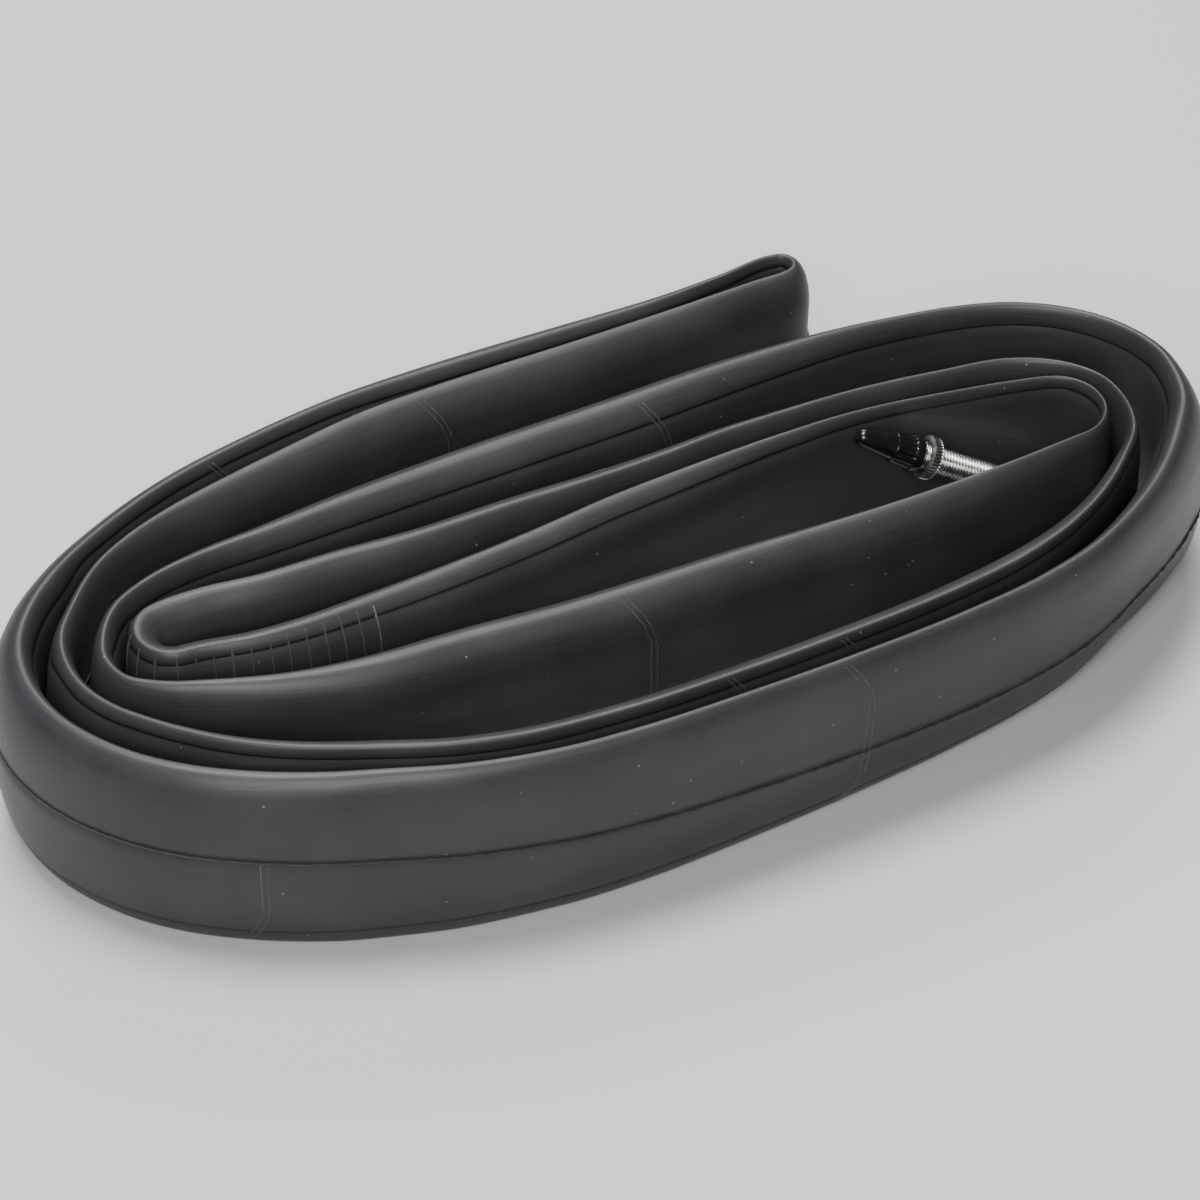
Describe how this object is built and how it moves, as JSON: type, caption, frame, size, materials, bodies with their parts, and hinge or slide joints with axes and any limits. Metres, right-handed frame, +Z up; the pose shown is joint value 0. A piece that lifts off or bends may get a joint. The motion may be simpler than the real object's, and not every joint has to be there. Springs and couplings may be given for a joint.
{
  "type": "bicycle inner tube",
  "caption": "Deflated bicycle inner tube folded into a flat bundle standing on edge, with a long threaded Presta valve, rim nut and dust cap.",
  "frame": {"origin": "centre of the folded bundle's footprint, on the surface it stands on", "axes": "+X along the bundle towards the fold with the valve, +Y towards the back of the bundle, +Z up, across the flattened tube"},
  "size_m": [0.275, 0.1336, 0.0468],
  "materials": {
    "butyl": "satin, lightly dusted moulded butyl",
    "moulded_rubber": "satin moulded rubber",
    "nickel": "bright nickel plate on brass",
    "cap_plastic": "glossy black moulding"
  },
  "bodies": {
    "root": {"tube": "butyl", "valve_pad": "moulded_rubber", "valve_stem": "nickel", "core_body": "nickel", "core_gasket": "moulded_rubber"},
    "rim_nut": {"rim_nut": "nickel"},
    "dust_cap": {"dust_cap": "cap_plastic"},
    "core_pin": {"core_pin": "nickel", "core_seal": "moulded_rubber"},
    "lock_nut": {"lock_nut": "nickel"}
  },
  "joints": [
    {"name": "dust_cap_slide", "type": "slide", "parent": "root", "child": "dust_cap", "axis": [-0.8397, 0.2728, 0.4695], "range_m": [0, 0.016]},
    {"name": "rim_nut_slide", "type": "slide", "parent": "root", "child": "rim_nut", "axis": [-0.8397, 0.2728, 0.4695], "range_m": [-0.032, 0]},
    {"name": "core_pin_slide", "type": "slide", "parent": "root", "child": "core_pin", "axis": [-0.8397, 0.2728, 0.4695], "range_m": [-0.0015, 0]},
    {"name": "lock_nut_turn", "type": "hinge", "parent": "core_pin", "child": "lock_nut", "pos_m": [0.06343, -0.00461, 0.04312], "axis": [-0.8397, 0.2728, 0.4695], "continuous": true}
  ]
}
